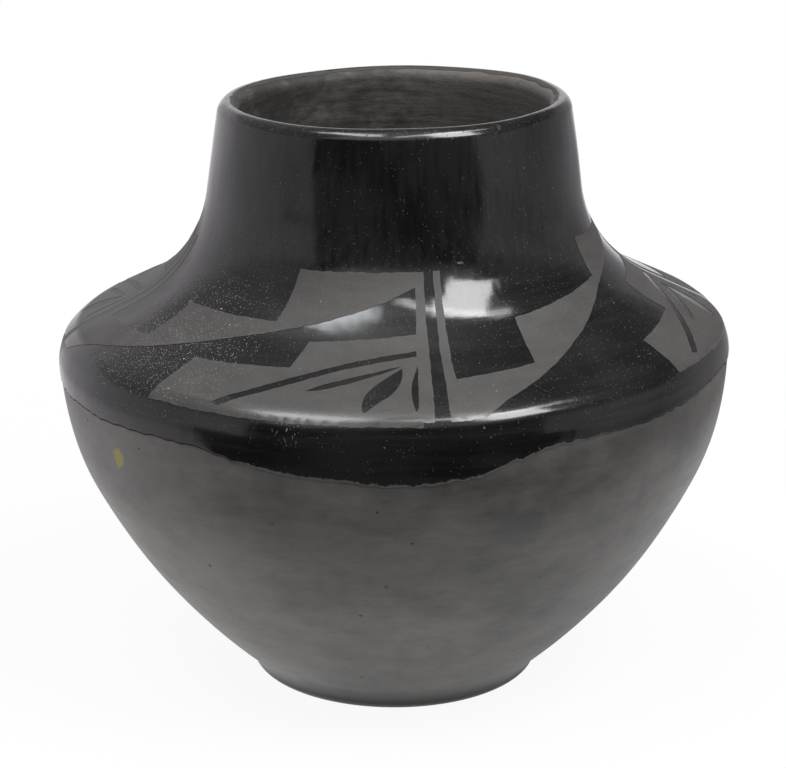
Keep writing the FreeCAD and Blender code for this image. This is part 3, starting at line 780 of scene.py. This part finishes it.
# Heights, and for LIP_INSIDE radii, between which a look sets in, from none of it to all of it
NECK_STREAKS = (132 * MM, 146 * MM)
NECK_DUST = (150 * MM, 132 * MM)
EDGE_DUST = (106 * MM, 111 * MM)
SCRATCHES_FROM = (104.0 * MM, 105.2 * MM)
SCRATCHES_TO = (111.0 * MM, 109.5 * MM)
RUBBED_FROM = (106.5 * MM, 109 * MM)
RUBBED_TO = (115 * MM, 112 * MM)
WORN_PAINT = (115.5 * MM, 110.5 * MM)
BURNISHED_PAINT = (112.8 * MM, 110.8 * MM)
# Painted shade: the clay darkens between these heights towards the foot
FOOT_SHADE_HEIGHTS = (50 * MM, 10 * MM)
# Painted shadow: heights over which the foot's lowest millimetres darken
FOOT_SHADOW_HEIGHTS = (8 * MM, 2 * MM)
LIP_WEAR = (HEIGHT - 9 * MM, HEIGHT - 5 * MM)
LIP_CREST = (HEIGHT - 3.4 * MM, HEIGHT - 1.8 * MM)
LIP_INSIDE = (MOUTH_RADIUS - 1.9 * MM, MOUTH_RADIUS - 3.0 * MM)

# Shares of a face's cells that hold a speck of dust, the sizes of these cells, and a speck's
# smallest and largest reach and its soft edge as shares of its cell
SLIP_DUST = 0.24
PAINT_DUST = 0.22
CLAY_DUST = 0.015
FINE_SPECKS = 0.40 * MM
WIDE_SPECKS = 0.9 * MM
SPECK_REACH = (0.07, 0.31)
SPECK_SOFT = 0.06


def dust_and_sheen(shader, colour, share):
    """The colour with fine pale dust, thickest where the shoulder's left front holds it, and with a pale
    grey film on the far left that is dust and painted reflection.
    """
    thick = shader.near(DUST_PATCH, 44 * MM, 5 * MM, 1.0, 10 * MM)
    height = shader.axes()[2]
    share = shader.between(height, *NECK_DUST, share * 0.40, share)
    more = shader.plus(share, shader.times(thick, 0.75))
    more = shader.times(more, shader.between(height, *EDGE_DUST, 0.30, 1.0))
    fine = shader.specks(FINE_SPECKS, more)
    wide = shader.specks(WIDE_SPECKS, shader.times(share, 0.05))
    both = shader.math("MAXIMUM", fine, wide)
    veil = shader.times(both, shader.between(thick, 0, 0.4, 0.30, 0.95))
    # Dust and painted reflection: a pale grey film on the far left evens out polish and paint
    film = shader.near(DUST_AND_SHEEN_FILM, 56 * MM, 36 * MM, 0.85, 8 * MM)
    return shader.mix(veil, shader.mix(film, colour, FILM), DUST), shader.math("MAXIMUM", both, film)


def scratches(shader, height):
    """Level scratches along the shoulder's edge in front, and short upright strokes at one place."""
    line = shader.between(shader.noise(0.7 * MM, (0.02, 0.02, 1), 2), 0.67, 0.72)
    broken = shader.between(shader.noise(16 * MM, detail=1), 0.50, 0.56)
    band = shader.times(shader.between(height, *SCRATCHES_FROM), shader.between(height, *SCRATCHES_TO))
    rubbed = shader.times(line, broken, band, shader.near(RUBBED_FRONT, 56 * MM, 34 * MM))
    strokes = shader.between(shader.noise(0.5 * MM, (1, 1, 0.3), 1), 0.63, 0.69)
    strokes = shader.times(strokes, shader.near(KNOCKED_PLACE, 8 * MM, 3 * MM, 0.5, 4 * MM))
    return shader.math("MAXIMUM", rubbed, strokes)


def worn_lip(shader):
    """Where the slip is rubbed dull: on the lip's inner half, and in nicks on its outer edge."""
    spot = shader.place()
    around = shader.vector("MULTIPLY", spot, (1, 1, 0)).outputs[0]
    radius = shader.vector("LENGTH", around).outputs["Value"]
    height = shader.axes()[2]
    rag = shader.times(shader.noise(3 * MM, detail=4), 1.6 * MM)
    inner = shader.between(shader.plus(radius, rag), *LIP_INSIDE)
    nicks = shader.between(shader.noise(1.6 * MM, (1, 1, 1.5), 4, 0.7), 0.60, 0.66)
    return shader.math("MAXIMUM", shader.times(inner, shader.between(height, *LIP_WEAR)),
                       shader.times(nicks, shader.between(height, *LIP_CREST), 0.7))


def slip_edge(shader):
    """Where the slip is brushed out thin in front, and where its lower edge draws a dark line."""
    thin = shader.add("Attribute", attribute_name="thin").outputs["Fac"]
    rag = shader.times(shader.noise(1.1 * MM, (1, 1, 0.6), 4, 0.7), 0.7)
    brushed_out = shader.between(shader.plus(thin, rag), 1.10, 1.30)
    brushed_out = shader.times(brushed_out, shader.near(RUBBED_FRONT, 62 * MM, 44 * MM))
    line = shader.times(shader.between(thin, 0.80, 0.92), shader.math("SUBTRACT", 1.0, brushed_out))
    return brushed_out, line


def polished_slip(shader):
    """Stone-polished slip: black and glossy, with the marks of the polishing stone."""
    height = shader.axes()[2]
    upright = shader.noise(1.8 * MM, (1, 1, 0.05), 5, 0.65)
    level = shader.noise(2.0 * MM, (0.05, 0.05, 1), 4, 0.6)
    streak = shader.mix_numbers(shader.between(height, *NECK_STREAKS), level, upright)
    cloud = shader.noise(26 * MM, detail=2)
    rough = shader.between(shader.blend((streak, 0.6), (cloud, 0.4)), 0.30, 0.72, 0.08, 0.20, False)
    rubbed = shader.times(shader.between(height, *RUBBED_FROM), shader.between(height, *RUBBED_TO))
    rough = shader.plus(rough, shader.times(rubbed, 0.04))
    tone = shader.blend((cloud, 0.5), (streak, 0.5))
    base = shader.mix(shader.between(tone, 0.38, 0.62), *SLIP_TONES)
    base = shader.mix(scratches(shader, height), base, SCRATCHED)
    base = shader.mix(shader.near(CHIP, 3.6 * MM, 2.8 * MM, 0.8, 4.4 * MM), base, CHIPPED)
    brushed_out, line = slip_edge(shader)
    base = shader.mix(brushed_out, base, BRUSHED_OUT)
    rough = shader.mix_numbers(brushed_out, rough, 0.42)
    rough = shader.mix_numbers(line, rough, 0.9)
    dull = worn_lip(shader)
    base = shader.mix(dull, base, shader.mix(cloud, *DULL_SLIP_TONES))
    colour, dust = dust_and_sheen(shader, base, SLIP_DUST)
    rough = shader.mix_numbers(shader.math("MAXIMUM", dust, shader.times(dull, 0.9)), rough, 0.8)
    facets = shader.noise(8 * MM, (1, 1, 0.5), 2, 0.5)
    return colour, rough, shader.blend((facets, 0.13), (streak, 0.026))


def matt_paint(shader):
    """Matt slip paint: dull grey on the polish, thin and worn near the shoulder's edge."""
    height = shader.axes()[2]
    brush = shader.noise(5 * MM, (0.5, 0.5, 1.6), 4, 0.6)
    grain = shader.noise(0.7 * MM, detail=2)
    tone = shader.blend((brush, 0.7), (grain, 0.3))
    base = shader.mix(shader.between(tone, 0.3, 0.7), *PAINT_TONES)
    smear = shader.noise(6 * MM, (0.7, 0.7, 2.2), 4, 0.65)
    gone = shader.times(shader.between(smear, 0.50, 0.60), shader.between(height, *WORN_PAINT),
                        shader.near(WORN_PLACE, 16 * MM, 8 * MM))
    worn = shader.mix(shader.times(gone, 0.8), base, UNDER_WORN_PAINT)
    colour, _ = dust_and_sheen(shader, worn, PAINT_DUST)
    rough = shader.math("MINIMUM", shader.mix_numbers(gone, 0.62, 0.30),
                        shader.between(height, *BURNISHED_PAINT, 0.70, 0.20))
    return colour, rough, shader.blend((grain, 0.02), (brush, 0.03))


def burnished_clay(shader):
    """Lightly burnished clay: satin grey, clouded by the smoke, with level rubbing marks, and painted shade:
    lighter on the left, darker on the right and towards the foot.
    """
    cloud = shader.noise(30 * MM, (0.7, 0.7, 1.2), 5, 0.65)
    level = shader.noise(3.4 * MM, (0.09, 0.09, 1), 5, 0.65)
    grain = shader.noise(0.8 * MM, detail=2)
    mottle = shader.noise(9 * MM, (1, 1, 1.3), 4, 0.6)
    marks = shader.noise(0.9 * MM, (0.10, 0.10, 1), 3, 0.6)
    x, _, z = shader.axes()
    # Painted light and shade: the tone is made lighter on the left, darker on the right and darker towards
    # the foot
    tone = shader.plus(shader.blend((cloud, 0.48), (level, 0.14), (mottle, 0.28), (marks, 0.10)),
                       shader.between(x, -80 * MM, 80 * MM, 0.05, -0.07),
                       shader.between(z, *FOOT_SHADE_HEIGHTS, 0.0, -0.08))
    base = shader.mix(shader.between(tone, 0.36, 0.62, smooth=False), *CLAY_TONES)
    # Painted shadow on the foot's lowest millimetres
    base = shader.mix(shader.between(z, *FOOT_SHADOW_HEIGHTS, 0.0, 0.6), base, FOOT_SHADOW)
    base = shader.mix(shader.near(DARK_SMUDGE, 13 * MM, 8 * MM, 0.5, 10 * MM), base, SMUDGED)
    pits = shader.specks(2.4 * MM, 0.03)
    base = shader.mix(pits, base, PITTED)
    base = shader.mix(shader.near(OCHRE_SMEAR, 6.4 * MM, 5.2 * MM, 0.9, 6.0 * MM), base, OCHRE)
    colour, _ = dust_and_sheen(shader, base, CLAY_DUST)
    rough = shader.between(shader.blend((level, 0.6), (grain, 0.4)), 0.3, 0.7, 0.36, 0.48, False)
    return colour, rough, shader.blend((level, 0.07), (grain, 0.010), (pits, -0.1))


def scraped_clay(shader):
    """Scraped clay inside: dull brown-black, with level scraping marks and coarse grains, and painted shade:
    darker on the left, lighter on the right.
    """
    cloud = shader.noise(20 * MM, detail=3)
    scrape = shader.noise(2.6 * MM, (0.08, 0.08, 1), 5, 0.65)
    grain = shader.noise(0.9 * MM, detail=3)
    mottle = shader.math("SUBTRACT", shader.noise(4 * MM, (1, 1, 1.5), 4, 0.65), 0.5)
    # Painted light and shade: the inside is made darker on the left and lighter on the right
    tone = shader.plus(shader.blend((cloud, 0.6), (scrape, 0.4), (mottle, 0.65)),
                       shader.between(shader.axes()[0], -35 * MM, 45 * MM, -0.16, 0.26))
    colour = shader.mix(shader.between(tone, 0.25, 0.75), *INSIDE_TONES)
    lumps = shader.noise(12 * MM, (0.5, 0.5, 1), 2)
    return colour, 0.72, shader.blend((scrape, 0.25), (grain, 0.10), (lumps, 0.8))


# The studio, as directions seen from the jar: azimuth from the camera's side, positive to the
# right, and elevation, both in degrees. A pair of angles is where a change starts and ends. The
# dark camera side reaches further round below the WIDENS elevations.
DARK_LEVEL = 0.07
DARK_LEFT = (50, 71)
DARK_LEFT_WIDENS = (0.5, -3)
DARK_RIGHT = (51.5, 62)
DARK_RIGHT_WIDENS = (-4, -12)
DARK_SOFT = 2.9
DARK_TOP = (28, 38)

# The pale sides, with their levels from near the dark front to far round, and how they change
LEFT_ROUND = (57.3, 114.6)
LEFT_LEVELS = (0.68, 0.78)
RIGHT_ROUND = (57.3, 103.1)
RIGHT_LEVELS = (0.62, 0.38)
LEFT_TO_RIGHT = (-0.3, 0.3)
HIGH = (14, 30)
LEFT_HIGH = 0.58
RIGHT_HIGH = 0.38
LOW = (-8, -18)
LEFT_LOW = 1.2
RIGHT_SOMEWHAT_LOW = 0.84
LOWEST = (-24, -36)
RIGHT_LOW = 0.31
SIDE_TINT = (0.99, 0.95, 1.0)
SIDE_TOP = (48, 72)

# The ceiling, which changes with the direction's share across and backward, and its strip light
OVERHEAD_LEFT = 1.5
OVERHEAD_RIGHT = 0.62
OVERHEAD_ACROSS = (-0.45, 0.45)
OVERHEAD_BACK = 0.28
OVERHEAD_BACKWARD = (-0.2, 0.5)
STRIP_LEVEL = 12.0
STRIP_LEFT_END = (-92, -76)
STRIP_RIGHT_END = (-9, -25)
STRIP_BOTTOM = (57, 62)
STRIP_TOP = (78, 64)

# The white behind the jar, as mirror rays see it
BEHIND_ROUND = (159.3, 169.0)
BEHIND_TOP = (25.8, 17.2)


def by_angle(shader, angle, pair, first=0.0, last=1.0):
    """first to last as an angle goes through a pair in degrees."""
    return shader.between(angle, *np.radians(pair), first, last)


def dark_front_edge(shader, elevation, rightward):
    """How far round the dark camera side reaches, in radians."""
    left = by_angle(shader, elevation, DARK_LEFT_WIDENS, *np.radians(DARK_LEFT))
    right = by_angle(shader, elevation, DARK_RIGHT_WIDENS, *np.radians(DARK_RIGHT))
    return shader.mix_numbers(rightward, left, right)


def pale_sides(shader, off_front, elevation, rightward):
    """The colour of the pale sides."""
    high = by_angle(shader, elevation, HIGH)
    low = by_angle(shader, elevation, LOW)
    lowest = by_angle(shader, elevation, LOWEST)

    def side(turn, levels, *changes):
        shares = [shader.between(share, 0, 1, 1.0, last) for share, last in changes]
        return shader.times(by_angle(shader, off_front, turn, *levels), *shares)

    left = side(LEFT_ROUND, LEFT_LEVELS, (low, LEFT_LOW), (high, LEFT_HIGH))
    right = side(RIGHT_ROUND, RIGHT_LEVELS, (low, RIGHT_SOMEWHAT_LOW), (lowest, RIGHT_LOW),
                 (high, RIGHT_HIGH))
    level = shader.mix_numbers(rightward, left, right)
    tint = shader.add("VectorMath", {0: SIDE_TINT, "Scale": level}, operation="SCALE")
    return tint.outputs["Vector"]


def white_where_seen(shader, behind=1.0):
    """1 for camera rays, and behind for the rays that mirrors and glass send."""
    path = shader.add("LightPath")
    mirrored = shader.math("MAXIMUM", path.outputs["Is Glossy Ray"], path.outputs["Is Transmission Ray"])
    return shader.math("MAXIMUM", path.outputs["Is Camera Ray"], shader.times(mirrored, behind))


def make_world():
    """A light room, dark on the camera's side, with a strip light, and white behind the jar."""
    world = bpy.data.worlds.new("studio")
    scene.world = world
    world.use_nodes = True
    shader = Shader(world.node_tree)
    x, y, z = shader.axes(shader.add("TexCoord").outputs["Generated"])
    azimuth = shader.math("ARCTAN2", x, shader.times(y, -1.0))
    off_front = shader.math("ABSOLUTE", azimuth)
    elevation = shader.math("ARCSINE", z)
    rightward = shader.between(x, *LEFT_TO_RIGHT)
    ceiling = shader.mix(shader.between(x, *OVERHEAD_ACROSS), grey(OVERHEAD_LEFT), grey(OVERHEAD_RIGHT))
    ceiling = shader.mix(shader.between(y, *OVERHEAD_BACKWARD), ceiling, grey(OVERHEAD_BACK))
    front = shader.mix(by_angle(shader, elevation, DARK_TOP), grey(DARK_LEVEL), ceiling)
    sides = pale_sides(shader, off_front, elevation, rightward)
    sides = shader.mix(by_angle(shader, elevation, SIDE_TOP), sides, ceiling)
    past_edge = shader.math("SUBTRACT", off_front, dark_front_edge(shader, elevation, rightward))
    colour = shader.mix(by_angle(shader, past_edge, (-DARK_SOFT, DARK_SOFT)), front, sides)
    strip = shader.times(by_angle(shader, azimuth, STRIP_LEFT_END),
                         by_angle(shader, azimuth, STRIP_RIGHT_END),
                         by_angle(shader, elevation, STRIP_BOTTOM),
                         by_angle(shader, elevation, STRIP_TOP))
    colour = shader.mix(strip, colour, grey(STRIP_LEVEL, -0.03))
    behind = shader.times(by_angle(shader, off_front, BEHIND_ROUND), by_angle(shader, elevation, BEHIND_TOP))
    colour = shader.mix(white_where_seen(shader, behind), colour, (1, 1, 1, 1))
    light = shader.add("Background", {"Color": colour, "Strength": 1.0})
    shader.add("OutputWorld", {"Surface": light.outputs[0]})


LAMP_TARGET = (0, 0, 0.13)
LAMP_DISTANCE = 1.2


def make_softbox(name, azimuth, elevation, width, height, radiance):
    """A rectangular lamp that faces the neck's base, with its two sides as angles in degrees."""
    lamp = bpy.data.lights.new(name, "AREA")
    lamp.shape = "RECTANGLE"
    lamp.size, lamp.size_y = (2 * LAMP_DISTANCE * math.tan(math.radians(side / 2))
                              for side in (width, height))
    lamp.energy = radiance * math.pi * lamp.size * lamp.size_y
    item = new_object(name, lamp)
    a, e = math.radians(azimuth), math.radians(elevation)
    way = Vector((math.sin(a) * math.cos(e), -math.cos(a) * math.cos(e), math.sin(e)))
    item.location = Vector(LAMP_TARGET) + way * LAMP_DISTANCE
    item.rotation_euler = way.to_track_quat("Z", "Y").to_euler()


def make_lamps():
    """The softbox whose reflection shows in the hollow under the neck, and the strip beside it."""
    make_softbox("right_box", azimuth=48.5, elevation=51, width=23, height=24, radiance=14.5)
    make_softbox("right_strip", azimuth=44, elevation=62.5, width=46, height=4, radiance=11.0)


# The floor, how much of it the camera sees as white, and how mirrors see that weaker on the right
FLOOR_RADIUS = 0.30
FLOOR_MIDDLE = (0, 0.08, -0.0002)
FLOOR_FADES = (0.66 * FLOOR_RADIUS, 0.97 * FLOOR_RADIUS)
FLOOR_COLOUR = (0.74, 0.74, 0.74, 1)
FLOOR_WHITE = 0.93
MIRRORED_ACROSS = (-60 * MM, 100 * MM)
MIRRORED_RIGHT = 0.4


def pale_floor_material():
    """Pale and diffuse, white to the camera and in mirrors, and clear towards its rim."""
    material, shader = new_material("pale_floor")
    spot = shader.add("TexCoord").outputs["Object"]
    reach = shader.vector("LENGTH", spot).outputs["Value"]
    across = shader.axes(spot)[0]
    pale = shader.add("BsdfDiffuse", {"Color": FLOOR_COLOUR}).outputs[0]
    white = shader.add("Emission", {"Color": (1, 1, 1, 1), "Strength": 1.0}).outputs[0]
    clear = shader.add("BsdfTransparent").outputs[0]
    seen = white_where_seen(shader, shader.between(across, *MIRRORED_ACROSS, 1.0, MIRRORED_RIGHT))
    share = shader.times(seen, FLOOR_WHITE)
    lit = shader.add("MixShader", {0: share, 1: pale, 2: white}).outputs[0]
    fade = shader.between(reach, *FLOOR_FADES)
    surface = shader.add("MixShader", {0: fade, 1: lit, 2: clear}).outputs[0]
    shader.add("OutputMaterial", {"Surface": surface})
    return material


def make_floor():
    """A round pale floor that fades out at its rim and keeps the jar's soft shadow."""
    angle = np.linspace(0, 2 * math.pi, COLUMNS // 5, endpoint=False)
    rim = np.stack([np.cos(angle), np.sin(angle), 0 * angle], 1) * FLOOR_RADIUS
    mesh = bpy.data.meshes.new("floor")
    mesh.from_pydata(rim.tolist(), [], [tuple(range(len(rim)))])
    mesh.materials.append(pale_floor_material())
    item = new_object("floor", mesh)
    item.location = FLOOR_MIDDLE


# The camera: lens and film in millimetres, place, and degrees that it looks down
LENS = 118.0
FILM_WIDTH = 36.0
CAMERA_PLACE = (-0.0004, -0.7589, 0.3272)
CAMERA_DOWN = 17.366


def make_camera():
    """The photograph's camera."""
    lens = bpy.data.cameras.new("camera")
    lens.lens = LENS
    lens.sensor_width = FILM_WIDTH
    item = new_object("camera", lens)
    item.location = CAMERA_PLACE
    item.rotation_euler = (math.radians(90 - CAMERA_DOWN), 0, 0)
    scene.camera = item


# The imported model's own materials have these names too, so the new ones are found here
MATERIALS = {look.__name__: fired_material(look)
             for look in (burnished_clay, scraped_clay, polished_slip, matt_paint)}


def dress(piece, slot, *nodes):
    """A piece with its slot, the material of that name and the nodes that it stands for."""
    piece.data.materials.append(MATERIALS[slot])
    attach(piece, "root")
    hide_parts(*nodes)


dress(make_burnished_wall(), "burnished_clay", "base_pat",
      *[f"wall_coil_{number}" for number in range(1, 6)], "belly_coil")
dress(make_scraped_inside(), "scraped_clay", "edge_coil_1", "edge_coil_2", "shoulder_coil",
      "neck_coil_1", "neck_coil_2", "neck_coil_3", "rim_coil")
dress(make_slip_coat(), "polished_slip", "polished_slip")
painted_steps, painted_panels, painted_bars = make_paint()
dress(painted_steps, "matt_paint", "stepped_paint")
dress(painted_panels, "matt_paint", "feather_panel_paint")
dress(painted_bars, "matt_paint", "bar_paint")

make_world()
make_lamps()
make_floor()
make_camera()
scene.view_settings.view_transform = "Standard"
